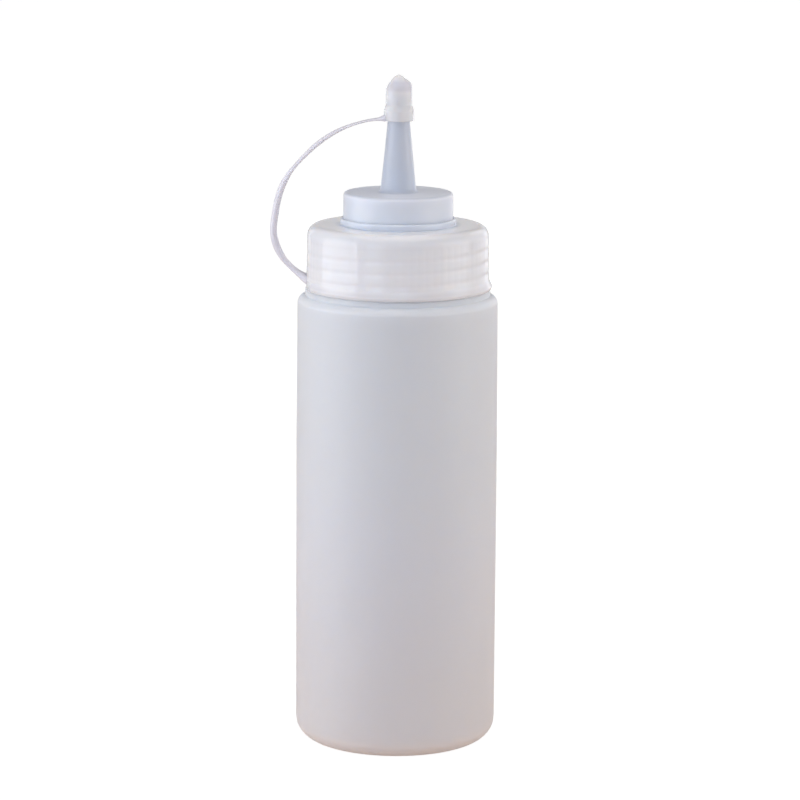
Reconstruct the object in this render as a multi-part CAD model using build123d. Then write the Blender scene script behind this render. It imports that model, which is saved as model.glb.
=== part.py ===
from build123d import *
import math
import os

# Squeeze bottle for sauce with a screw cap, a nozzle insert and a tethered tip cap.
# Millimetres. Origin at the centre of the base on the bottle's axis, +Z up,
# the tether strap on the -X side.

# ---------------------------------------------------------------- bottle
BODY_R = 30.0            # outer radius of the body
BODY_TOP_R = 29.78       # outer radius just under the shoulder (slight draft)
BODY_STRAIGHT_Z = 92.0   # top of the truly cylindrical part
SHOULDER_Z = 135.0       # flat top of the shoulder
SHOULDER_EDGE_R = 2.7    # rounding of the shoulder's edge
BASE_EDGE_R = 5.8        # rounding between wall and base
WALL = 1.2               # blow-moulded wall
FOOT_IN_R = 20.0         # inner radius of the flat standing ring
PUSH_UP = 2.4            # height of the pushed-up middle of the base
NECK_R = 24.35           # outer radius of the neck below its thread
NECK_BORE_R = 22.9
NECK_TOP_Z = 152.70

# ---------------------------------------------------------------- thread
PITCH = 3.7
NECK_THREAD_TURNS = 3.0
CAP_THREAD_TURNS = 3.3
THREAD_ROOT_W = 1.70     # width at the root
THREAD_CREST_W = 0.75
NECK_THREAD_R = 25.50    # crest radius of the neck's thread
NECK_THREAD_Z = 140.20   # centre of the thread's lower end
CAP_THREAD_R = 24.75     # crest radius of the cap's internal thread

# ---------------------------------------------------------------- screw cap
SKIRT_R = 27.10          # outer radius at the foot of the skirt
SKIRT_TOP_R = 26.80
SKIRT_IN_R = 25.95
SKIRT_Z = 136.80         # lower edge
BEAD_R = 27.95           # bead round the lower edge
BEAD_Z = 139.60          # where the bead runs out into the skirt
DECK_Z = 155.90          # top face of the deck
DECK_T = 1.60
DECK_EDGE_R = 3.30
RING_R = 17.15           # collar ring round the centre hole
RING_Z = 157.90
HOLE_R = 16.33
RIB_COUNT = 72           # fine vertical grip flutes
RIB_CUT_R = 0.80
RIB_DEPTH = 0.12

# ---------------------------------------------------------------- nozzle insert
BOSS_R = 16.25
BOSS_BORE_R = 14.85
BOSS_TOP_Z = 165.55
BOSS_TOP_T = 1.40
BOSS_EDGE_R = 1.10
FLANGE_R = 25.30
FLANGE_TOP_Z = 154.25
FLANGE_BOTTOM_Z = 152.75
PLUG_R = 22.70           # ring that seals inside the neck
PLUG_IN_R = 21.40
PLUG_Z = 150.20
NOZZLE_FOOT_R = 5.33
NOZZLE_TIP_R = 2.50
NOZZLE_TIP_Z = 194.20
NOZZLE_BORE_FOOT_R = 4.10
NOZZLE_BORE_TIP_R = 1.35
NOZZLE_FILLET = 1.30

# ---------------------------------------------------------------- tip cap
TIP_MOUTH_Z = 186.60
TIP_TOP_Z = 200.20
TIP_RIM_R = 4.45
TIP_R = 3.85
TIP_BORE_MOUTH_R = 3.72
TIP_BORE_MID_R = 3.16

# ---------------------------------------------------------------- strap
# One flexible moulded strap, divided where it bends. Each row is a bending
# line: x, z, strap thickness there; then the strap's middle point up to the
# next row, and the width of that length.
STRAP = [
    # x,      z,      t,    mid x,   mid z,  width
    (-30.10, 141.65, 1.55, -33.15, 144.55, 4.8),
    (-35.45, 148.05, 2.10, -36.82, 152.95, 4.8),
    (-36.45, 158.27, 2.05, -35.38, 163.80, 4.6),
    (-33.40, 168.80, 1.85, -30.35, 173.20, 4.3),
    (-26.60, 177.15, 1.25, -22.15, 180.92, 3.9),
    (-16.75, 184.07, 1.05, -10.94, 186.12, 3.4),
]
STRAP_END = (-4.10, 187.12, 0.95)   # where it runs into the tip cap's rim
STRAP_GAP = 0.15                    # clearance round each bending line
ROOT_W = 5.8                        # width of the tab on the skirt


# ---------------------------------------------------------------- helpers
def v(x, z):
    return Vector(x, 0, z)


def outline(points):
    """Closed face in the XZ plane from (x, z, corner radius) points."""
    n = len(points)
    ends = []
    for i, (x, z, r) in enumerate(points):
        px, pz = points[i - 1][0], points[i - 1][1]
        nx, nz = points[(i + 1) % n][0], points[(i + 1) % n][1]
        if r <= 0:
            ends.append((v(x, z), None, v(x, z)))
            continue
        a = Vector(px - x, 0, pz - z).normalized()
        b = Vector(nx - x, 0, nz - z).normalized()
        half = math.radians(a.get_angle(b)) / 2
        run = r / math.tan(half)
        mid = (a + b).normalized()
        centre = v(x, z) + mid * (r / math.sin(half))
        ends.append((v(x, z) + a * run, centre - mid * r, v(x, z) + b * run))
    edges = []
    for i in range(n):
        start, middle, end = ends[i]
        if middle is not None:
            edges.append(Edge.make_three_point_arc(start, middle, end))
        following = ends[(i + 1) % n][0]
        if (following - end).length > 1e-6:
            edges.append(Edge.make_line(end, following))
    return Face(Wire(edges))


def lathe(points):
    return revolve(outline(points), axis=Axis.Z, revolution_arc=360)


def thread(radius_root, radius_crest, z_start, turns):
    """Right-hand helical ridge whose root is buried behind radius_root."""
    bury = 0.30 if radius_crest > radius_root else -0.30
    slope = (THREAD_ROOT_W - THREAD_CREST_W) / 2 / abs(radius_crest - radius_root)
    w_root = THREAD_ROOT_W / 2 + slope * abs(bury)
    w_crest = THREAD_CREST_W / 2
    path = Edge.make_helix(PITCH, PITCH * turns, radius_root, center=(0, 0, z_start))
    path = Wire([path]) if isinstance(path, Edge) else path
    section = Face(Wire([
        Edge.make_line(v(radius_root - bury, z_start - w_root), v(radius_crest, z_start - w_crest)),
        Edge.make_line(v(radius_crest, z_start - w_crest), v(radius_crest, z_start + w_crest)),
        Edge.make_line(v(radius_crest, z_start + w_crest), v(radius_root - bury, z_start + w_root)),
        Edge.make_line(v(radius_root - bury, z_start + w_root), v(radius_root - bury, z_start - w_root)),
    ]))
    return sweep(section, path=path, is_frenet=True)


def unit(ax, az):
    n = math.hypot(ax, az)
    return ax / n, az / n


def arc_centre(p, q, s):
    """Centre of the circle through three points of the XZ plane."""
    ax, az, bx, bz, cx, cz = p[0], p[1], q[0], q[1], s[0], s[1]
    d = 2 * (ax * (bz - cz) + bx * (cz - az) + cx * (az - bz))
    ux = ((ax**2 + az**2) * (bz - cz) + (bx**2 + bz**2) * (cz - az) + (cx**2 + cz**2) * (az - bz)) / d
    uz = ((ax**2 + az**2) * (cx - bx) + (bx**2 + bz**2) * (ax - cx) + (cx**2 + cz**2) * (bx - ax)) / d
    return ux, uz


def band(p, t0, q, s, t1):
    """Face of a bent strip from p through q to s, thickness t0 to t1."""
    cx, cz = arc_centre(p, q, s)
    tm = (t0 + t1) / 2
    outer, inner = [], []
    for (x, z), t in ((p, t0), (q, tm), (s, t1)):
        ux, uz = unit(x - cx, z - cz)
        outer.append(v(x + ux * t / 2, z + uz * t / 2))
        inner.append(v(x - ux * t / 2, z - uz * t / 2))
    return Face(Wire([
        Edge.make_three_point_arc(outer[0], outer[1], outer[2]),
        Edge.make_line(outer[2], inner[2]),
        Edge.make_three_point_arc(inner[2], inner[1], inner[0]),
        Edge.make_line(inner[0], outer[0]),
    ]))


def slab(face, width):
    """Extrudes a face of the XZ plane by width, centred on y = 0."""
    solid = extrude(face, amount=width / 2, dir=(0, 1, 0), both=True)
    return solid


def rod(x, z, r, width):
    """Cylinder along Y, centred on y = 0."""
    return Pos(x, 0, z) * Rot(90, 0, 0) * Cylinder(r, width)


def one(shape):
    """The single solid of a result."""
    solids = shape.solids()
    assert len(solids) == 1, len(solids)
    return solids[0]


# ---------------------------------------------------------------- bottle
w = WALL
bottle = lathe([
    (0, PUSH_UP, 0),
    (15.5, PUSH_UP - 0.3, 5.0),
    (FOOT_IN_R, 0, 2.5),
    (BODY_R, 0, BASE_EDGE_R),
    (BODY_R, BODY_STRAIGHT_Z, 0),
    (BODY_TOP_R, SHOULDER_Z, SHOULDER_EDGE_R),
    (NECK_R, SHOULDER_Z + 0.3, 0.8),
    (NECK_R, NECK_TOP_Z, 0.4),
    (NECK_BORE_R, NECK_TOP_Z, 0.3),
    (NECK_BORE_R, SHOULDER_Z - w + 0.3, 1.6),
    (BODY_TOP_R - w, SHOULDER_Z - w, 1.8),
    (BODY_R - w, BODY_STRAIGHT_Z, 0),
    (BODY_R - w, 1.5, 4.7),
    (FOOT_IN_R - 0.6, 1.5, 2.5),
    (15.0, PUSH_UP + 1.3, 5.0),
    (0, PUSH_UP + 1.6, 0),
])
neck_thread = thread(NECK_R, NECK_THREAD_R, NECK_THREAD_Z, NECK_THREAD_TURNS)
bottle = one(bottle + neck_thread)

# ---------------------------------------------------------------- nozzle insert
spout = one(lathe([
    (PLUG_IN_R, FLANGE_BOTTOM_Z, 0.3),
    (PLUG_IN_R, PLUG_Z, 0.3),
    (PLUG_R, PLUG_Z, 0.4),
    (PLUG_R, FLANGE_BOTTOM_Z, 0),
    (FLANGE_R, FLANGE_BOTTOM_Z, 0.2),
    (FLANGE_R, FLANGE_TOP_Z, 0.3),
    (BOSS_R, FLANGE_TOP_Z, 0),
    (BOSS_R, BOSS_TOP_Z, BOSS_EDGE_R),
    (NOZZLE_FOOT_R, BOSS_TOP_Z, NOZZLE_FILLET),
    (NOZZLE_TIP_R, NOZZLE_TIP_Z, 0.35),
    (NOZZLE_BORE_TIP_R, NOZZLE_TIP_Z, 0.2),
    (NOZZLE_BORE_FOOT_R, BOSS_TOP_Z - BOSS_TOP_T, 0.8),
    (BOSS_BORE_R, BOSS_TOP_Z - BOSS_TOP_T, 1.2),
    (BOSS_BORE_R, FLANGE_BOTTOM_Z, 0.3),
]))

# ---------------------------------------------------------------- screw cap
slope_r = (SKIRT_TOP_R - SKIRT_R) / (DECK_Z - BEAD_Z)
shell = lathe([
    (SKIRT_IN_R + 0.45, SKIRT_Z, 0.2),
    (BEAD_R - 0.35, SKIRT_Z, 0.5),
    (BEAD_R, SKIRT_Z + 1.0, 0.5),
    (SKIRT_R, BEAD_Z, 1.2),
    (SKIRT_TOP_R, DECK_Z, DECK_EDGE_R),
    (RING_R, DECK_Z, 0.4),
    (RING_R, RING_Z, 0.35),
    (HOLE_R, RING_Z, 0.3),
    (HOLE_R, DECK_Z - DECK_T, 0),
    (SKIRT_IN_R, DECK_Z - DECK_T, 0.8),
    (SKIRT_IN_R, SKIRT_Z + 1.2, 0),
])
cap_thread = thread(SKIRT_IN_R, CAP_THREAD_R, NECK_THREAD_Z - PITCH / 2, CAP_THREAD_TURNS)

# shallow grip flutes between the bead and the rounded top edge
rib_low, rib_high = BEAD_Z + 0.7, DECK_Z - DECK_EDGE_R - 0.3
rib_mid = (rib_low + rib_high) / 2
rib_r = SKIRT_R + slope_r * (rib_mid - BEAD_Z)
lean = math.degrees(math.atan(-slope_r))
flutes = []
for k in range(RIB_COUNT):
    angle = 360.0 / RIB_COUNT * (k + 0.5)
    flutes.append(
        Rot(0, 0, angle)
        * Pos(rib_r + RIB_CUT_R - RIB_DEPTH, 0, rib_mid)
        * Rot(0, -lean, 0)
        * Cylinder(RIB_CUT_R, rib_high - rib_low)
    )

# tab that carries the strap, moulded on the bead
x0, z0, t0 = STRAP[0][:3]
nx, nz = unit(STRAP[0][3] - x0, STRAP[0][4] - z0)
tab_face = Face(Wire.make_polygon([
    v(-SKIRT_IN_R - 0.45, SKIRT_Z + 0.35),
    v(-BEAD_R + 0.5, SKIRT_Z + 0.35),
    v(x0 + 1.10, z0 - 2.30),
    v(x0 - nz * t0 / 2, z0 + nx * t0 / 2),
    v(x0 + nz * t0 / 2, z0 - nx * t0 / 2),
    v(-SKIRT_R + 0.4, SKIRT_Z + 4.4),
    v(-SKIRT_IN_R - 0.45, SKIRT_Z + 4.4),
], close=True))
tab = slab(tab_face, ROOT_W) - rod(x0, z0, t0 / 2 + STRAP_GAP, ROOT_W + 2)

screw_cap = shell + cap_thread
screw_cap = screw_cap - flutes
screw_cap = one(screw_cap + tab)

# ---------------------------------------------------------------- tip cap
tip_shell = lathe([
    (TIP_BORE_MOUTH_R + 0.15, TIP_MOUTH_Z, 0.15),
    (TIP_RIM_R, TIP_MOUTH_Z, 0.30),
    (TIP_RIM_R - 0.02, TIP_MOUTH_Z + 3.0, 0.8),
    (TIP_R, TIP_MOUTH_Z + 4.7, 1.5),
    (TIP_R - 0.03, TIP_TOP_Z - 3.9, 2.4),
    (2.85, TIP_TOP_Z - 1.75, 1.8),
    (0.60, TIP_TOP_Z, 1.0),
    (0, TIP_TOP_Z, 0),
    (0, TIP_TOP_Z - 1.5, 0),
    (1.0, TIP_TOP_Z - 1.5, 0.6),
    (2.85, TIP_TOP_Z - 3.6, 1.4),
    (TIP_BORE_MID_R, TIP_MOUTH_Z + 4.9, 0),
    (TIP_BORE_MOUTH_R, TIP_MOUTH_Z + 0.4, 0),
])
xa, za, ta, xm, zm, wa = STRAP[-1]
tail = slab(band((xa, za), ta, (xm, zm), STRAP_END[:2], STRAP_END[2]), wa)
tail = tail + rod(xa, za, ta / 2, wa)
tail = tail - Pos(0, 0, TIP_MOUTH_Z + 2) * Cylinder(TIP_RIM_R - 0.3, 12)
tip_cap = one(tip_shell + tail)

# ---------------------------------------------------------------- strap lengths
links = []
for i in range(len(STRAP) - 1):
    xa, za, ta, xm, zm, wa = STRAP[i]
    xb, zb, tb = STRAP[i + 1][:3]
    link = slab(band((xa, za), ta, (xm, zm), (xb, zb), tb), wa)
    link = link + rod(xa, za, ta / 2, wa)
    link = link - rod(xb, zb, tb / 2 + STRAP_GAP, wa + 2)
    links.append(one(link))

# ---------------------------------------------------------------- output
os.makedirs("parts", exist_ok=True)
pieces = {"bottle": bottle, "spout": spout, "screw_cap": screw_cap, "tip_cap": tip_cap}
for i, link in enumerate(links):
    pieces["strap_%d" % (i + 1)] = link
for name, solid in pieces.items():
    export_step(solid, "parts/%s.step" % name)
    print(name, "volume mm3", round(solid.volume, 1))
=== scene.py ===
import bpy
import math
import numpy as np
from mathutils import Matrix, Vector, noise


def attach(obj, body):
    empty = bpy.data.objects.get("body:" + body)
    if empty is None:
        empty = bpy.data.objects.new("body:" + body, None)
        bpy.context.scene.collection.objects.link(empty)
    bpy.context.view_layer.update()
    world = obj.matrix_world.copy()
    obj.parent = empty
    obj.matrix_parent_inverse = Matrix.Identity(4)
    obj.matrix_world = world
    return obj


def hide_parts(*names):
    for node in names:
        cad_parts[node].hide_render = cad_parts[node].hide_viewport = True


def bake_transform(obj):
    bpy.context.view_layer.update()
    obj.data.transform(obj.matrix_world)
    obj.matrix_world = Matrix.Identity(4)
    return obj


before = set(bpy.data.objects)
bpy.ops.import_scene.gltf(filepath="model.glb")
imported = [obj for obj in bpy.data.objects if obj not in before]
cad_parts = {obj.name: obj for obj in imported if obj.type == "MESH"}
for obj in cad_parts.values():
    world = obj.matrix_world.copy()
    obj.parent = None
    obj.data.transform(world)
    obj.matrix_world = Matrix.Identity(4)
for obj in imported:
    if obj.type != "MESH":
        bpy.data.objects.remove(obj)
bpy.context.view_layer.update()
MM = 0.001

scene = bpy.context.scene
scene.view_settings.view_transform = "Standard"
scene.view_settings.look = "None"
scene.cycles.use_denoising = True
scene.cycles.max_bounces = 12
scene.cycles.diffuse_bounces = 6
scene.cycles.glossy_bounces = 6
scene.cycles.transmission_bounces = 8
scene.cycles.transparent_max_bounces = 12
scene.cycles.blur_glossy = 0.5
scene.cycles.sample_clamp_indirect = 6.0


# ------------------------------------------------------------------ camera
def add_camera():
    elevation, distance, roll = math.radians(10.7), 1.1, math.radians(0.38)
    target = Vector((0, 0, 0.1))
    toward = Vector((0, math.cos(elevation), -math.sin(elevation)))
    right, up = Vector((1, 0, 0)), Vector((0, math.sin(elevation), math.cos(elevation)))
    r = right * math.cos(roll) + up * math.sin(roll)
    u = up * math.cos(roll) - right * math.sin(roll)
    data = bpy.data.cameras.new("camera")
    data.lens = 165.83
    data.sensor_width = 36.0
    data.shift_x = 0.003875
    data.shift_y = 0.012375
    data.clip_start, data.clip_end = 0.02, 40.0
    cam = bpy.data.objects.new("camera", data)
    scene.collection.objects.link(cam)
    at = target - toward * distance
    cam.matrix_world = Matrix((
        (r.x, u.x, -toward.x, at.x),
        (r.y, u.y, -toward.y, at.y),
        (r.z, u.z, -toward.z, at.z),
        (0, 0, 0, 1),
    ))
    scene.camera = cam


add_camera()


# ------------------------------------------------------------------ outlines
def fillet(points, steps=6):
    """Closed outline of (r, z) from (r, z, corner radius), each round corner as an arc of steps."""
    out, n = [], len(points)
    for i, (x, z, rad) in enumerate(points):
        here = Vector((x, z))
        if rad <= 0:
            out.append((x, z))
            continue
        a = (Vector(points[i - 1][:2]) - here).normalized()
        b = (Vector(points[(i + 1) % n][:2]) - here).normalized()
        half = a.angle(b) / 2
        run = rad / math.tan(half)
        centre = here + (a + b).normalized() * (rad / math.sin(half))
        p, q = here + a * run - centre, here + b * run - centre
        sweep = math.pi - 2 * half
        turn = math.copysign(1, p.x * q.y - p.y * q.x)
        k = max(2, int(steps * sweep / (math.pi / 2) + 0.99) + 1)
        for s in range(k + 1):
            t = turn * sweep * s / k
            c, d = math.cos(t), math.sin(t)
            out.append((centre.x + p.x * c - p.y * d, centre.y + p.x * d + p.y * c))
    clean = []
    for p in out:
        if not clean or math.dist(p, clean[-1]) > 1e-5:
            clean.append(p)
    if math.dist(clean[0], clean[-1]) < 1e-5:
        clean.pop()
    return clean


def refine(path, length, closed=True):
    """The outline with its straight runs divided; length(r, z) is the longest edge there."""
    out, n = [], len(path)
    for i in range(n if closed else n - 1):
        a, b = path[i], path[(i + 1) % n]
        out.append(a)
        mid = ((a[0] + b[0]) / 2, (a[1] + b[1]) / 2)
        k = max(1, math.ceil(math.dist(a, b) / length(*mid)))
        for s in range(1, k):
            t = s / k
            out.append((a[0] + (b[0] - a[0]) * t, a[1] + (b[1] - a[1]) * t))
    if not closed:
        out.append(path[-1])
    return out


def lathe(name, path, segments, warp=None):
    """Turned solid from a closed outline of (r, z) in mm. Points on the axis become one vertex. warp(angle, r, z) gives a changed (r, z)."""
    verts, faces, rows = [], [], []
    ring = [2 * math.pi * k / segments for k in range(segments)]
    for r, z in path:
        if r < 1e-6:
            rows.append([len(verts)])
            verts.append((0, 0, z * MM))
            continue
        row = []
        for a in ring:
            rr, zz = warp(a, r, z) if warp else (r, z)
            row.append(len(verts))
            verts.append((rr * math.cos(a) * MM, rr * math.sin(a) * MM, zz * MM))
        rows.append(row)
    n = len(rows)
    for i in range(n):
        a, b = rows[i], rows[(i + 1) % n]
        if len(a) == 1 and len(b) == 1:
            continue
        for k in range(segments):
            l = (k + 1) % segments
            if len(a) == 1:
                faces.append((a[0], b[l], b[k]))
            elif len(b) == 1:
                faces.append((a[k], a[l], b[0]))
            else:
                faces.append((a[k], a[l], b[l], b[k]))
    return solid(name, verts, faces)


def solid(name, verts, faces, sharp=40):
    mesh = bpy.data.meshes.new(name)
    mesh.from_pydata(verts, [], faces)
    mesh.update()
    volume = 0.0
    co = np.array(verts)
    mesh.calc_loop_triangles()
    tri = np.array([t.vertices[:] for t in mesh.loop_triangles])
    volume = np.einsum("ij,ij->i", co[tri[:, 0]], np.cross(co[tri[:, 1]], co[tri[:, 2]])).sum()
    if volume < 0:
        mesh.flip_normals()
    mesh.polygons.foreach_set("use_smooth", [True] * len(mesh.polygons))
    mesh.set_sharp_from_angle(angle=math.radians(sharp))
    mesh.update()
    obj = bpy.data.objects.new(name, mesh)
    scene.collection.objects.link(obj)
    return obj


def smooth(a, b, x):
    t = min(1.0, max(0.0, (x - a) / (b - a)))
    return t * t * (3 - 2 * t)


PITCH = 3.7


def helix(angle, z, start, turns):
    """Distance in mm from z to the nearest turn of a right-hand helix at this angle, and how full the thread is there."""
    best, full = 9.0, 0.0
    first = angle / (2 * math.pi)
    for k in range(int(turns) + 2):
        t = first + k
        if -0.08 < t < turns + 0.08:
            d = z - (start + PITCH * t)
            if abs(d) < abs(best):
                best = d
                full = smooth(-0.06, 0.05, t) * (1 - smooth(turns - 0.05, turns + 0.06, t))
    return best, full


def ridge(d, crest=0.42, root=0.88):
    """Height, 0 to 1, of a rounded trapezoid thread at distance d from its middle."""
    return 1 - smooth(crest, root, abs(d))


# ------------------------------------------------------------------ bottle
WALL = 1.2
bottle_outline = fillet([
    (0, 2.4, 0),
    (15.5, 2.1, 5.0),
    (20.0, 0, 2.5),
    (29.98, 0, 6.4),
    (29.98, 92.0, 0),
] + [(27.06 + 2.70 * math.cos(math.radians(a)), 132.30 + 2.70 * math.sin(math.radians(a)), 0) for a in range(0, 81, 8)] + [
    (27.46, 135.00, 0),
    (27.42, 136.78, 0.06),
    (24.35, 136.74, 0.6),
    (24.35, 152.7, 0.4),
    (22.9, 152.7, 0.3),
    (22.9, 135.0, 1.6),
    (25.8, 133.9, 1.2),
    (29.76 - WALL, 133.8, 1.8),
    (29.98 - WALL, 92.0, 0),
    (29.98 - WALL, 1.5, 5.3),
    (19.4, 1.5, 2.5),
    (15.0, 3.7, 5.0),
    (0, 4.0, 0),
], steps=9)


def bottle_step(r, z):
    if 24.2 < r < 24.5 and z > 139.0:
        return 0.16
    if r > 28.0:
        return 2.4
    return 1.6


def bottle_warp(angle, r, z):
    if 24.2 < r < 24.5 and 138.6 < z < 152.5:
        d, full = helix(angle, z, 140.2, 3.0)
        return r + 1.12 * ridge(d) * full, z
    if r > 28.3 and 5 < z < 133:
        # a blow-moulded wall is never quite even, and carries the mould's parting lines at the sides
        u = Vector((math.cos(angle) * 1.1, math.sin(angle) * 1.1, z / 34.0))
        wave = noise.noise(u + Vector((3.1, 7.7, 1.9)))
        soft = smooth(5, 18, z) * (1 - smooth(120, 133, z))
        if r > 29.3:
            line = 0.0
            for side in (0.0, math.pi):
                off = abs((angle - side + math.pi) % (2 * math.pi) - math.pi) * r
                line = max(line, 1 - smooth(0.10, 0.34, off))
            return r - 0.045 + 0.035 * wave * soft - 0.03 + 0.055 * line, z
    return r, z


bottle = lathe("bottle_body", refine(bottle_outline, bottle_step), 270, bottle_warp)
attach(bottle, "bottle")
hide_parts("bottle")

# ------------------------------------------------------------------ nozzle insert
spout_outline = fillet([
    (21.4, 152.75, 0.3),
    (21.4, 150.2, 0.3),
    (22.7, 150.2, 0.4),
    (22.7, 152.75, 0),
    (25.3, 152.75, 0.2),
    (25.3, 154.25, 0.3),
    (16.25, 154.25, 0),
    (16.25, 165.55, 1.10),
    (5.33, 165.55, 1.30),
    (2.50, 194.20, 0.35),
    (1.35, 194.20, 0.2),
    (4.10, 164.15, 0.8),
    (14.85, 164.15, 1.2),
    (14.85, 152.75, 0.3),
], steps=8)
spout = lathe("nozzle_insert", refine(spout_outline, lambda r, z: 1.2), 160)
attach(spout, "spout")
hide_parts("spout")

# ------------------------------------------------------------------ screw cap
cap_outline = fillet([
    (26.40, 136.80, 0.2),
    (27.60, 136.80, 0.5),
    (27.95, 137.80, 0.5),
    (27.10, 139.60, 1.2),
    (26.80, 155.90, 3.3),
    (17.15, 155.90, 0.4),
    (17.15, 157.90, 0.55),
    (16.33, 157.90, 0.3),
    (16.33, 154.30, 0),
    (25.95, 154.30, 0.8),
    (25.95, 138.00, 0),
], steps=8)


def cap_step(r, z):
    if 25.8 < r < 26.1 and 138.0 < z < 153.5:
        return 0.20
    if r > 26.6 and z > 139.0:
        return 0.34
    return 1.0


def cap_warp(angle, r, z):
    if 25.8 < r < 26.1 and 138.02 < z < 153.4:
        d, full = helix(angle, z, 138.35, 3.3)
        return r - 1.15 * ridge(d) * full, z
    if r > 26.3 and 139.4 < z < 153.8:
        d, full = helix(angle, z, 138.35, 3.3)
        sink = 0.075 * (1 - smooth(0.10, 1.15, abs(d))) * full
        band = smooth(139.9, 140.9, z) * (1 - smooth(151.6, 152.9, z))
        flute = 0.5 - 0.5 * math.cos(72 * angle)
        return r - (sink + 0.030 * flute ** 3) * band, z
    if r > 27.1 and z < 139.7:
        # the bead dies out where the strap's tab leaves the skirt
        off = abs(angle - math.pi)
        return r - (r - 27.1) * (1 - smooth(math.radians(13), math.radians(23), off)), z
    return r, z


cap = lathe("screw_cap_shell", refine(cap_outline, cap_step), 432, cap_warp)
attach(cap, "screw_cap")
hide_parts("screw_cap")

# ------------------------------------------------------------------ tip cap
TIP_LEFT = [(3.86, 194.6), (3.84, 195.4), (3.55, 196.5), (3.18, 197.2), (2.72, 197.9), (2.12, 198.75),
            (1.45, 199.45), (0.75, 199.95), (0.0, 200.16)]
TIP_RIGHT = [(3.86, 194.6), (3.86, 195.4), (3.83, 196.6), (3.74, 197.2), (3.50, 197.75), (2.70, 198.45),
             (1.70, 199.10), (0.85, 199.75), (0.0, 200.16)]
tip_outer = fillet([
    (3.87, 186.60, 0.15),
    (4.44, 186.60, 0.30),
    (4.43, 189.60, 0.8),
    (3.88, 191.30, 1.5),
    (3.87, 194.40, 0),
    (0, 194.5, 0),
], steps=6)[:-1]
tip_inner = fillet([
    (0, 190.0, 0),
    (0, 198.70, 0),
    (1.00, 198.70, 0.6),
    (2.85, 196.60, 1.4),
    (3.16, 191.50, 0),
    (3.72, 187.00, 0),
    (3.80, 186.65, 0),
], steps=6)[1:]


def dense(points, n):
    """n points evenly along a smooth curve through the given ones."""
    p = np.array(points)
    s = np.concatenate([[0], np.cumsum(np.linalg.norm(np.diff(p, axis=0), axis=1))])
    t = np.linspace(0, s[-1], n)
    return np.stack([pchip(s, p[:, 0], t), pchip(s, p[:, 1], t)], axis=1)


def pchip(x, y, t):
    """Shape-keeping cubic through (x, y)."""
    x, y, t = np.asarray(x, float), np.asarray(y, float), np.asarray(t, float)
    h, d = np.diff(x), np.diff(y) / np.diff(x)
    m = np.zeros_like(y)
    for i in range(1, len(x) - 1):
        if d[i - 1] * d[i] > 0:
            w1, w2 = 2 * h[i] + h[i - 1], h[i] + 2 * h[i - 1]
            m[i] = (w1 + w2) / (w1 / d[i - 1] + w2 / d[i])
    m[0], m[-1] = d[0], d[-1]
    k = np.clip(np.searchsorted(x, t) - 1, 0, len(x) - 2)
    u = (t - x[k]) / h[k]
    return ((2 * u**3 - 3 * u**2 + 1) * y[k] + (u**3 - 2 * u**2 + u) * h[k] * m[k]
            + (-2 * u**3 + 3 * u**2) * y[k + 1] + (u**3 - u**2) * h[k] * m[k + 1])


def make_tip():
    left, right = dense(TIP_LEFT, 22), dense(TIP_RIGHT, 22)
    lower = refine(tip_outer, lambda r, z: 0.5, closed=False)
    inner = refine(tip_inner, lambda r, z: 0.6, closed=False)
    segments, verts, rows, faces = 96, [], [], []
    for r, z in lower:
        rows.append(range(len(verts), len(verts) + segments))
        verts += [(r * math.cos(a) * MM, r * math.sin(a) * MM, z * MM)
                  for a in np.linspace(0, 2 * math.pi, segments, endpoint=False)]
    for i in range(len(left) - 1):
        rows.append(range(len(verts), len(verts) + segments))
        for a in np.linspace(0, 2 * math.pi, segments, endpoint=False):
            w = smooth(-0.55, 0.85, math.cos(a))
            r = left[i][0] * (1 - w) + right[i][0] * w
            z = left[i][1] * (1 - w) + right[i][1] * w
            verts.append((r * math.cos(a) * MM, r * math.sin(a) * MM, z * MM))
    rows.append([len(verts)])
    verts.append((0, 0, 200.16 * MM))
    rows.append([len(verts)])
    verts.append((0, 0, 198.70 * MM))
    for r, z in inner:
        if r < 1e-6:
            continue
        rows.append(range(len(verts), len(verts) + segments))
        verts += [(r * math.cos(a) * MM, r * math.sin(a) * MM, z * MM)
                  for a in np.linspace(0, 2 * math.pi, segments, endpoint=False)]
    n = len(rows)
    for i in range(n):
        a, b = rows[i], rows[(i + 1) % n]
        if len(a) == 1 and len(b) == 1:
            continue
        for k in range(segments):
            l = (k + 1) % segments
            if len(a) == 1:
                faces.append((a[0], b[l], b[k]))
            elif len(b) == 1:
                faces.append((a[k], a[l], b[0]))
            else:
                faces.append((a[k], a[l], b[l], b[k]))
    return solid("tip_cap_shell", verts, faces)


tip = make_tip()
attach(tip, "tip_cap")
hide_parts("tip_cap")

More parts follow.
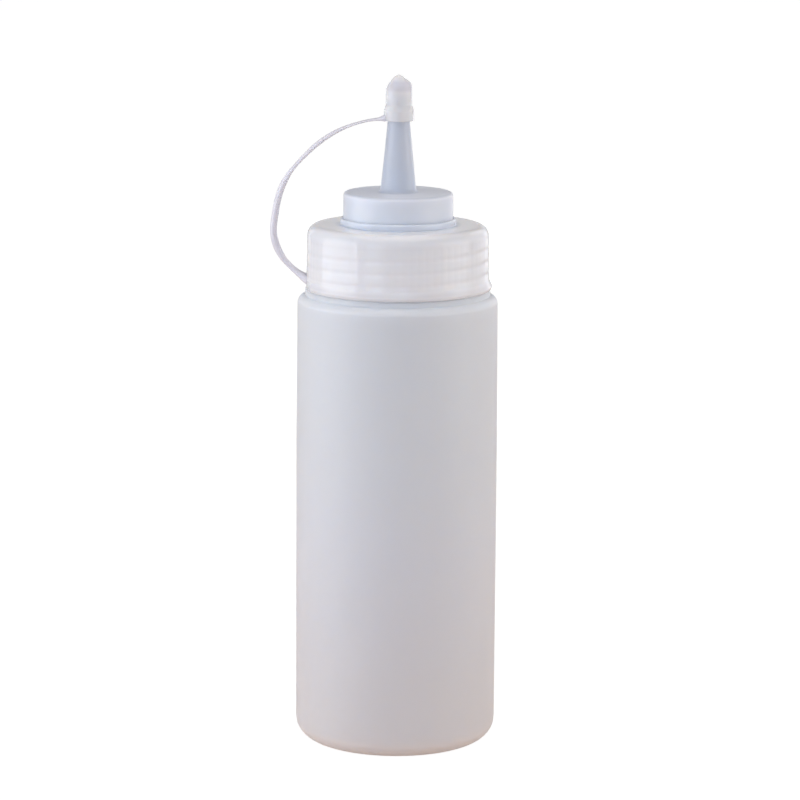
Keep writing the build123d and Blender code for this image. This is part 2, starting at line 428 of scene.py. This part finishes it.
# ------------------------------------------------------------------ strap
# middle line x, z; thickness; width, from inside the skirt to inside the tip cap's rim
LINE = [
    (-26.45, 139.30, 3.30, 7.2),
    (-27.40, 139.72, 2.75, 6.8),
    (-28.40, 140.35, 2.20, 6.2),
    (-29.20, 140.93, 1.90, 5.7),
    (-30.10, 141.65, 1.70, 5.3),
    (-31.60, 142.95, 1.55, 5.0),
    (-33.15, 144.55, 1.62, 4.8),
    (-34.55, 146.40, 1.90, 4.8),
    (-35.45, 148.05, 2.08, 4.8),
    (-36.35, 150.45, 2.15, 4.8),
    (-36.82, 152.95, 2.06, 4.8),
    (-36.45, 158.27, 2.05, 4.7),
    (-35.38, 163.80, 2.02, 4.6),
    (-34.50, 166.45, 1.95, 4.5),
    (-33.40, 168.80, 1.78, 4.4),
    (-32.00, 171.10, 1.38, 4.3),
    (-30.35, 173.20, 1.15, 4.2),
    (-26.60, 177.15, 1.25, 4.0),
    (-24.50, 179.10, 1.35, 3.9),
    (-22.15, 180.92, 1.32, 3.8),
    (-19.45, 182.68, 1.22, 3.6),
    (-16.75, 184.07, 1.02, 3.4),
    (-13.85, 185.25, 0.80, 3.3),
    (-10.94, 186.12, 0.70, 3.2),
    (-8.20, 186.72, 0.74, 3.2),
    (-6.30, 186.98, 0.92, 3.4),
    (-5.10, 187.15, 1.35, 3.9),
    (-4.60, 187.25, 1.75, 4.3),
    (-4.02, 187.32, 2.10, 4.6),
]
HINGES = [(-30.10, 141.65), (-35.45, 148.05), (-36.45, 158.27), (-33.40, 168.80), (-26.60, 177.15), (-16.75, 184.07)]
MIDDLES = [(-33.15, 144.55), (-36.82, 152.95), (-35.38, 163.80), (-30.35, 173.20), (-22.15, 180.92)]


def spline(x, y):
    """Natural cubic spline through (x, y): a function of t that gives value and slope."""
    n = len(x)
    h = np.diff(x)
    a = np.zeros((n, n))
    b = np.zeros(n)
    a[0, 0] = a[-1, -1] = 1
    for i in range(1, n - 1):
        a[i, i - 1], a[i, i], a[i, i + 1] = h[i - 1], 2 * (h[i - 1] + h[i]), h[i]
        b[i] = 6 * ((y[i + 1] - y[i]) / h[i] - (y[i] - y[i - 1]) / h[i - 1])
    m = np.linalg.solve(a, b)

    def at(t):
        k = int(np.clip(np.searchsorted(x, t) - 1, 0, n - 2))
        u, v = x[k + 1] - t, t - x[k]
        value = (m[k] * u**3 + m[k + 1] * v**3) / (6 * h[k]) + (y[k] / h[k] - m[k] * h[k] / 6) * u + (y[k + 1] / h[k] - m[k + 1] * h[k] / 6) * v
        slope = (-m[k] * u**2 + m[k + 1] * v**2) / (2 * h[k]) - (y[k] / h[k] - m[k] * h[k] / 6) + (y[k + 1] / h[k] - m[k + 1] * h[k] / 6)
        return value, slope
    return at


line = np.array(LINE)
along = np.concatenate([[0], np.cumsum(np.linalg.norm(np.diff(line[:, :2], axis=0), axis=1))])
line_x, line_z = spline(along, line[:, 0]), spline(along, line[:, 1])


def station(point):
    """Length along the strap's middle line of one of its points."""
    return float(along[int(np.argmin(np.linalg.norm(line[:, :2] - np.array(point), axis=1)))])


def section(t, around=28):
    """One cross-section of the strap, a rounded flat bar whose outer face is a little crowned."""
    x, dx = line_x(t)
    z, dz = line_z(t)
    n = math.hypot(dx, dz)
    dx, dz = dx / n, dz / n
    thick, wide = float(pchip(along, line[:, 2], [t])[0]), float(pchip(along, line[:, 3], [t])[0])
    out = []
    for k in range(around):
        a = 2 * math.pi * k / around
        c, s = math.cos(a), math.sin(a)
        p = 0.85
        u = math.copysign(abs(c) ** p, c) * wide / 2
        v = math.copysign(abs(s) ** p, s) * thick / 2
        out.append(((x - dz * v) * MM, u * MM, (z + dx * v) * MM))
    return out


def ribbon(name, t0, t1):
    steps = max(6, int((t1 - t0) / 0.40))
    verts, faces, around = [], [], 28
    for i in range(steps + 1):
        verts += section(t0 + (t1 - t0) * i / steps, around)
    for i in range(steps):
        for k in range(around):
            l = (k + 1) % around
            a, b = i * around, (i + 1) * around
            faces.append((a + k, a + l, b + l, b + k))
    faces.append(tuple(range(around))[::-1])
    faces.append(tuple(steps * around + k for k in range(around)))
    obj = solid(name, verts, faces, sharp=55)
    return obj


strap = []
stops = [0.0] + [station(m) for m in MIDDLES] + [float(along[-1])]
for i in range(6):
    piece = ribbon("strap_length_%d" % (i + 1), stops[i], stops[i + 1])
    hinge = station(HINGES[i])
    reach = 0.97 * min(hinge - stops[i], stops[i + 1] - hinge, 6.4)
    if i == 0:
        reach = 2.2
    s, e = hinge - reach, hinge + reach
    line_x(s)[0] * MM
    line_z(s)[0] * MM
    line_x(e)[0] * MM
    line_z(e)[0] * MM
    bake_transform(piece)
    if i < 5:
        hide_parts("strap_%d" % (i + 1))
    strap.append(piece)


# ------------------------------------------------------------------ materials
def nodes_of(name):
    m = bpy.data.materials.new(name)
    m.use_nodes = True
    nt = m.node_tree
    shader = next(n for n in nt.nodes if n.type == "BSDF_PRINCIPLED")
    return m, nt, shader


def mapped(nt, scale):
    coord = nt.nodes.new("ShaderNodeTexCoord")
    mapping = nt.nodes.new("ShaderNodeMapping")
    mapping.inputs["Scale"].default_value = scale
    nt.links.new(coord.outputs["Object"], mapping.inputs["Vector"])
    return mapping.outputs["Vector"]


def clouds(nt, vector, scale, detail=3.0, roughness=0.5, distortion=0.0):
    n = nt.nodes.new("ShaderNodeTexNoise")
    n.inputs["Scale"].default_value = scale
    n.inputs["Detail"].default_value = detail
    n.inputs["Roughness"].default_value = roughness
    n.inputs["Distortion"].default_value = distortion
    nt.links.new(vector, n.inputs["Vector"])
    return n.outputs["Fac"]


def ramp(nt, value, stops):
    r = nt.nodes.new("ShaderNodeValToRGB")
    e = r.color_ramp.elements
    while len(e) > len(stops):
        e.remove(e[-1])
    while len(e) < len(stops):
        e.new(1.0)
    for element, (at, colour) in zip(e, stops):
        element.position = at
        element.color = (*colour, 1) if not isinstance(colour, (int, float)) else (colour,) * 3 + (1,)
    nt.links.new(value, r.inputs["Fac"])
    return r.outputs["Color"]


def span(nt, value, low, high):
    m = nt.nodes.new("ShaderNodeMapRange")
    m.inputs["From Min"].default_value = 0.3
    m.inputs["From Max"].default_value = 0.7
    m.inputs["To Min"].default_value = low
    m.inputs["To Max"].default_value = high
    nt.links.new(value, m.inputs["Value"])
    return m.outputs["Result"]


def ldpe(name, pale, deep, rough, grain, stretch=1.0, depth=0.0035, mottle=26.0, cover=1.0, sheen=0.0, scatter=1.0, pattern=None):
    """Moulded low-density polyethylene: a milky scattering wall, uneven in thickness, with a fine satin skin."""
    m, nt, s = nodes_of(name)
    flow = mapped(nt, (1.0, 1.0, stretch))
    cloud = clouds(nt, flow, mottle, 4.0, 0.55, 0.3)
    colour = ramp(nt, cloud, [(0.28, deep), (0.5, tuple((a + b) / 2 for a, b in zip(pale, deep))), (0.72, pale)])
    if pattern:
        colour = pattern(nt, colour)
    nt.links.new(colour, s.inputs["Base Color"])
    skin = clouds(nt, mapped(nt, (1, 1, 0.6)), 75.0, 2.0, 0.5)
    nt.links.new(span(nt, skin, rough[0], rough[1]), s.inputs["Roughness"])
    bump = nt.nodes.new("ShaderNodeBump")
    bump.inputs["Strength"].default_value = grain[1]
    bump.inputs["Distance"].default_value = 0.00002
    nt.links.new(clouds(nt, mapped(nt, (1, 1, 1)), grain[0], 2.0, 0.5), bump.inputs["Height"])
    nt.links.new(bump.outputs["Normal"], s.inputs["Normal"])
    s.inputs["IOR"].default_value = 1.5
    s.inputs["Subsurface Weight"].default_value = scatter
    s.inputs["Subsurface Radius"].default_value = (1.0, 0.9, 0.8)
    s.inputs["Subsurface Scale"].default_value = depth
    s.inputs["Alpha"].default_value = cover
    if sheen:
        s.inputs["Sheen Weight"].default_value = sheen
        s.inputs["Sheen Roughness"].default_value = 0.35
    return m


def math_node(nt, operation, *values):
    n = nt.nodes.new("ShaderNodeMath")
    n.operation = operation
    for k, v in enumerate(values):
        if isinstance(v, (int, float)):
            n.inputs[k].default_value = v
        else:
            nt.links.new(v, n.inputs[k])
    return n.outputs[0]


def shade(nt, colour, factor, by):
    """The colour, multiplied by another one where factor is 1."""
    mix = nt.nodes.new("ShaderNodeMix")
    mix.data_type = "RGBA"
    mix.blend_type = "MULTIPLY"
    colours = [k for k in mix.inputs if k.type == "RGBA"]
    nt.links.new(factor, mix.inputs[0])
    nt.links.new(colour, colours[0])
    colours[1].default_value = (*by, 1)
    return next(o for o in mix.outputs if o.type == "RGBA")


def height_mask(nt, low, high):
    """0 below the height low, 1 above high (or the other way round)."""
    coord = nt.nodes.new("ShaderNodeTexCoord")
    axes = nt.nodes.new("ShaderNodeSeparateXYZ")
    nt.links.new(coord.outputs["Object"], axes.inputs[0])
    m = nt.nodes.new("ShaderNodeMapRange")
    m.interpolation_type = "SMOOTHSTEP"
    m.inputs["From Min"].default_value = low
    m.inputs["From Max"].default_value = high
    nt.links.new(axes.outputs[2], m.inputs["Value"])
    return m.outputs["Result"]


def body_painted_light(nt, colour):
    """Painted light on the blow-moulded body: its foot is darkened and warmed as by warm light bounced from below, its
    upper wall cooled as by bluish light from above.
    """
    # painted light: warm, darker shade over the foot
    colour = shade(nt, colour, height_mask(nt, 0.095, 0.0), (0.96, 0.87, 0.795))
    # painted light: bluish cast over the upper wall
    return shade(nt, colour, height_mask(nt, 0.05, 0.13), (0.965, 0.995, 1.0))


def spout_top_shade_and_tint(nt, colour):
    """Painted shade darkens the insert's thin top face; above it the nozzle's wall is a touch duller and bluer than its
    foot.
    """
    # painted shade on the insert's top face
    colour = shade(nt, colour, height_mask(nt, 0.1648, 0.1655), (0.80, 0.81, 0.83))
    return shade(nt, colour, height_mask(nt, 0.1662, 0.171), (0.985, 0.995, 1.0))


def tip_painted_void_shade(nt, colour):
    """Painted shade: the wall over the empty space beyond the nozzle's end, which has nothing white behind it, is
    darkened a little.
    """
    # painted shade over the void beyond the nozzle's end
    band = math_node(nt, "MULTIPLY", height_mask(nt, 0.1948, 0.1962), height_mask(nt, 0.1990, 0.1978))
    return shade(nt, colour, band, (0.84, 0.845, 0.885))


def cap_painted_shade_and_ring_tint(nt, colour):
    """Painted shade darkens thin lines over the inner thread and the thick bead a little, and the thin collar ring
    takes on the insert's blue.
    """
    coord = nt.nodes.new("ShaderNodeTexCoord")
    axes = nt.nodes.new("ShaderNodeSeparateXYZ")
    nt.links.new(coord.outputs["Object"], axes.inputs[0])
    x, y, z = axes.outputs
    turn = math_node(nt, "DIVIDE", math_node(nt, "ARCTAN2", y, x), 2 * math.pi)
    height = math_node(nt, "DIVIDE", math_node(nt, "SUBTRACT", z, 0.13835), 0.0037)
    wave = math_node(nt, "COSINE", math_node(nt, "MULTIPLY", math_node(nt, "SUBTRACT", height, turn), 2 * math.pi))
    line = nt.nodes.new("ShaderNodeMapRange")
    line.interpolation_type = "SMOOTHSTEP"
    line.inputs["From Min"].default_value = 0.35
    line.inputs["From Max"].default_value = 0.95
    nt.links.new(wave, line.inputs["Value"])
    low = math_node(nt, "GREATER_THAN", z, 0.1390)
    high = math_node(nt, "LESS_THAN", z, 0.1520)
    line = math_node(nt, "MULTIPLY", line.outputs["Result"], math_node(nt, "MULTIPLY", low, high))
    # painted shade along the lines over the inner thread
    colour = shade(nt, colour, line, (0.982, 0.980, 0.982))
    # painted shade on the bead at the skirt's lower edge
    colour = shade(nt, colour, height_mask(nt, 0.1397, 0.1381), (0.87, 0.87, 0.875))
    radius = math_node(nt, "SQRT", math_node(nt, "ADD", math_node(nt, "MULTIPLY", x, x), math_node(nt, "MULTIPLY", y, y)))
    ring = nt.nodes.new("ShaderNodeMapRange")
    ring.inputs["From Min"].default_value = 0.0190
    ring.inputs["From Max"].default_value = 0.0172
    nt.links.new(radius, ring.inputs["Value"])
    return shade(nt, colour, ring.outputs["Result"], (0.79, 0.85, 0.93))


body_mat = ldpe("ldpe_body", (0.92, 0.93, 0.975), (0.89, 0.90, 0.95), (0.36, 0.44), (900.0, 0.25), stretch=0.35, sheen=0.08, pattern=body_painted_light)
spout_mat = ldpe("ldpe_spout", (0.78, 0.82, 0.885), (0.75, 0.795, 0.865), (0.285, 0.345), (1100.0, 0.06), depth=0.0025, sheen=0.45, pattern=spout_top_shade_and_tint)
cap_mat = ldpe("ldpe_cap", (0.93, 0.925, 0.93), (0.90, 0.895, 0.90), (0.125, 0.165), (1000.0, 0.08), depth=0.0016, pattern=cap_painted_shade_and_ring_tint)
tip_mat = ldpe("ldpe_tip", (0.975, 0.97, 0.98), (0.955, 0.95, 0.965), (0.10, 0.16), (900.0, 0.12), depth=0.0012, cover=0.66, sheen=0.40, pattern=tip_painted_void_shade)
strap_mat = ldpe("ldpe_strap", (0.82, 0.81, 0.86), (0.78, 0.77, 0.825), (0.29, 0.37), (1000.0, 0.05), depth=0.0010, mottle=40.0, scatter=0.3)

for obj, mat in [(bottle, body_mat), (spout, spout_mat), (cap, cap_mat), (tip, tip_mat)] + [(p, strap_mat) for p in strap]:
    obj.data.materials.clear()
    obj.data.materials.append(mat)

# the CAD nodes are all stood for by finer pieces; they keep a finish of their own
for node, mat in (("bottle", body_mat), ("spout", spout_mat), ("screw_cap", cap_mat), ("tip_cap", tip_mat),
                  *[("strap_%d" % k, strap_mat) for k in range(1, 6)]):
    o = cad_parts[node]
    o.data.materials.clear()
    o.data.materials.append(mat)


# ------------------------------------------------------------------ floor and light
def floor_part(name, inner, outer, strength, colour):
    """A ring of plain pale floor. It is as white as the backdrop to the camera and softly lit to everything else."""
    n, verts, faces = 96, [], []
    for r in (inner, outer):
        verts += [(r * math.cos(2 * math.pi * k / n), r * math.sin(2 * math.pi * k / n), 0) for k in range(n)]
    for k in range(n):
        l = (k + 1) % n
        faces.append((k, n + k, n + l, l))
    if inner < 0.001:
        verts, faces = verts[n:], [tuple(range(n))]
    mesh = bpy.data.meshes.new(name)
    mesh.from_pydata(verts, [], faces)
    floor = bpy.data.objects.new(name, mesh)
    scene.collection.objects.link(floor)
    m = bpy.data.materials.new(name)
    m.use_nodes = True
    nt = m.node_tree
    for node in list(nt.nodes):
        nt.nodes.remove(node)
    out = nt.nodes.new("ShaderNodeOutputMaterial")
    mix = nt.nodes.new("ShaderNodeMixShader")
    path = nt.nodes.new("ShaderNodeLightPath")
    add = nt.nodes.new("ShaderNodeAddShader")
    seen = nt.nodes.new("ShaderNodeBsdfDiffuse")
    seen.inputs["Color"].default_value = (0.16, 0.16, 0.16, 1)
    glow = nt.nodes.new("ShaderNodeEmission")
    glow.inputs["Color"].default_value = (1.0, 1.0, 1.0, 1)
    glow.inputs["Strength"].default_value = 0.93 if inner < 0.001 else 1.0
    bounce = nt.nodes.new("ShaderNodeBsdfDiffuse")
    bounce.inputs["Color"].default_value = (0.50, 0.42, 0.37, 1)
    lit = nt.nodes.new("ShaderNodeEmission")
    lit.name = "lit"
    lit.inputs["Color"].default_value = (*colour, 1)
    lit.inputs["Strength"].default_value = strength
    both = nt.nodes.new("ShaderNodeAddShader")
    nt.links.new(bounce.outputs[0], both.inputs[0])
    nt.links.new(lit.outputs[0], both.inputs[1])
    nt.links.new(path.outputs["Is Camera Ray"], mix.inputs["Fac"])
    nt.links.new(both.outputs[0], mix.inputs[1])
    nt.links.new(seen.outputs[0], add.inputs[0])
    nt.links.new(glow.outputs[0], add.inputs[1])
    nt.links.new(add.outputs[0], mix.inputs[2])
    nt.links.new(mix.outputs[0], out.inputs["Surface"])
    mesh.materials.append(m)


def add_floor():
    floor_part("floor", 0, 0.5, 0.221, (1.000, 0.882, 0.796))
    floor_part("floor_far", 0.5, 8.0, 0.163, (0.785, 1.000, 1.000))


def add_world():
    w = bpy.data.worlds.new("studio")
    scene.world = w
    w.use_nodes = True
    nt = w.node_tree
    for n in list(nt.nodes):
        nt.nodes.remove(n)
    out = nt.nodes.new("ShaderNodeOutputWorld")
    back = nt.nodes.new("ShaderNodeBackground")
    back.inputs["Color"].default_value = (0.92, 0.96, 1.0, 1)
    back.inputs["Strength"].default_value = 0.03
    white = nt.nodes.new("ShaderNodeBackground")
    white.inputs["Color"].default_value = (1, 1, 1, 1)
    white.inputs["Strength"].default_value = 1.0
    path = nt.nodes.new("ShaderNodeLightPath")
    mix = nt.nodes.new("ShaderNodeMixShader")
    nt.links.new(path.outputs["Is Camera Ray"], mix.inputs["Fac"])
    nt.links.new(back.outputs[0], mix.inputs[1])
    nt.links.new(white.outputs[0], mix.inputs[2])
    nt.links.new(mix.outputs[0], out.inputs["Surface"])


def add_light(name, azimuth, elevation, distance, size, lift, power, colour):
    """Rectangular soft light aimed at the bottle's middle, then raised by lift. Azimuth 0 is the camera's side, 90 the right."""
    a, e = math.radians(azimuth), math.radians(elevation)
    target = Vector((0, 0, 0.11))
    direction = Vector((math.sin(a) * math.cos(e), -math.cos(a) * math.cos(e), math.sin(e)))
    data = bpy.data.lights.new(name, "AREA")
    data.shape = "RECTANGLE"
    data.size, data.size_y = size
    data.energy = power
    data.color = colour
    light = bpy.data.objects.new(name, data)
    scene.collection.objects.link(light)
    light.location = target + direction * distance + Vector((0, 0, lift))
    light.visible_camera = False
    light.rotation_euler = direction.to_track_quat("Z", "Y").to_euler()


add_floor()
add_world()
for row in (
        ("window", -84, 0, 0.75, (0.62, 0.64), 0.19, 3.18, (0.927, 0.944, 1.000)),
        ("window2", -57, 0, 0.75, (0.07, 0.64), 0.19, 0.66, (0.933, 0.904, 1.000)),
        ("left_back", -135, 8, 0.9, (0.8, 0.9), 0, 0.83, (1.000, 0.890, 0.975)),
        ("left_front", -28, 8, 1.3, (0.5, 0.9), 0, 3.24, (0.739, 0.844, 1.000)),
        ("front", 4, 14, 1.4, (0.35, 0.7), 0, 1.50, (0.739, 0.739, 1.000)),
        ("front_high", 0, 50, 1.3, (0.9, 0.6), 0, 1.83, (0.778, 0.901, 1.000)),
        ("front_right", 38, 8, 1.3, (0.5, 0.9), 0, 1.43, (1.000, 0.865, 0.948)),
        ("right", 84, 5, 0.9, (0.6, 0.9), 0, 3.43, (0.956, 0.964, 1.000)),
        ("right_narrow", 60, 5, 0.9, (0.1, 0.9), 0, 0.99, (1.000, 0.900, 0.760)),
        ("right_back", 135, 8, 0.9, (0.8, 0.9), 0, 2.52, (0.888, 0.892, 1.000)),
        ("top", 0, 89, 0.9, (0.9, 0.9), 0, 4.07, (1.000, 0.915, 0.864)),
        ("back_low", 180, 0, 0.8, (1.1, 0.26), 0.02, 0.32, (1.000, 1.000, 1.000)),
        ("back_wall", 180, 0, 1.2, (1.6, 0.3), 0.23, 0.56, (0.980, 0.968, 1.000)),
):
    add_light(*row)
